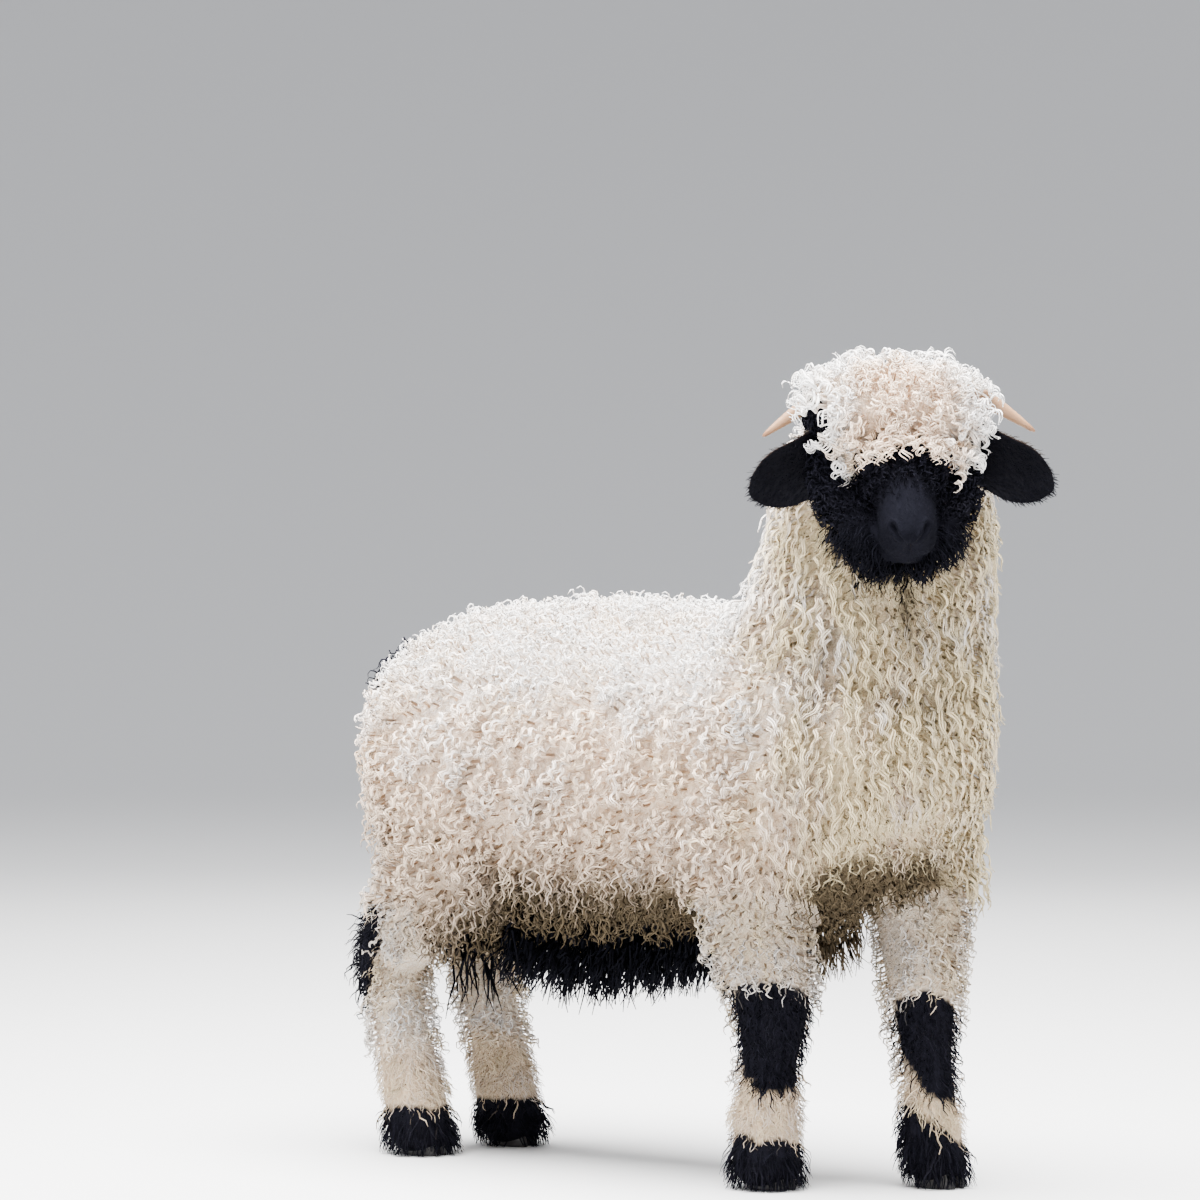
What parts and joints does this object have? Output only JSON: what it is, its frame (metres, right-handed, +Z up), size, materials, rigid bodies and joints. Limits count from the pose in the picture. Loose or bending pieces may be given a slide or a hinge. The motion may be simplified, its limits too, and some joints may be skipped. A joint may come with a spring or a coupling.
{
  "type": "young valais blacknose sheep standing, life-size still model",
  "caption": "Life-size still model of a young woolly sheep with a black face, knees and feet, small horns and its head turned to one side.",
  "frame": {"origin": "on the floor, under the middle of the animal's box", "axes": "+X forward along the back, +Y to the animal's left, +Z up"},
  "size_m": [0.9428, 0.3648, 0.9195],
  "materials": {
    "cream_wool": "curly cream fleece, near white on the back, yellower on the chest, tan between the curls",
    "black_wool": "dense matte black wool and short black hair",
    "black_skin": "velvety short black hair over dark skin, a little sheen on the nose",
    "pale_horn": "pale tan horn with fine rings and grooves",
    "dark_horn": "dark hoof horn, rough at the edge",
    "dark_eye": "wet dark brown eye"
  },
  "bodies": {
    "root": {"crown": "cream_wool", "head": "black_skin", "neck": "cream_wool", "forequarters": "cream_wool", "barrel": "cream_wool", "hindquarters": "cream_wool", "tail": "cream_wool", "front_left_upper_leg": "cream_wool", "front_left_knee": "black_wool", "front_left_fetlock": "cream_wool", "front_left_foot": "black_wool", "front_left_hoof": "dark_horn", "front_right_upper_leg": "cream_wool", "front_right_knee": "black_wool", "front_right_fetlock": "cream_wool", "front_right_foot": "black_wool", "front_right_hoof": "dark_horn", "hind_left_upper_leg": "cream_wool", "hind_left_hock": "black_wool", "hind_left_fetlock": "cream_wool", "hind_left_foot": "black_wool", "hind_left_hoof": "dark_horn", "hind_right_upper_leg": "cream_wool", "hind_right_hock": "black_wool", "hind_right_fetlock": "cream_wool", "hind_right_foot": "black_wool", "hind_right_hoof": "dark_horn", "ear_left": "black_skin", "horn_left": "pale_horn", "eye_left": "dark_eye", "ear_right": "black_skin", "horn_right": "pale_horn", "eye_right": "dark_eye"}
  },
  "joints": []
}
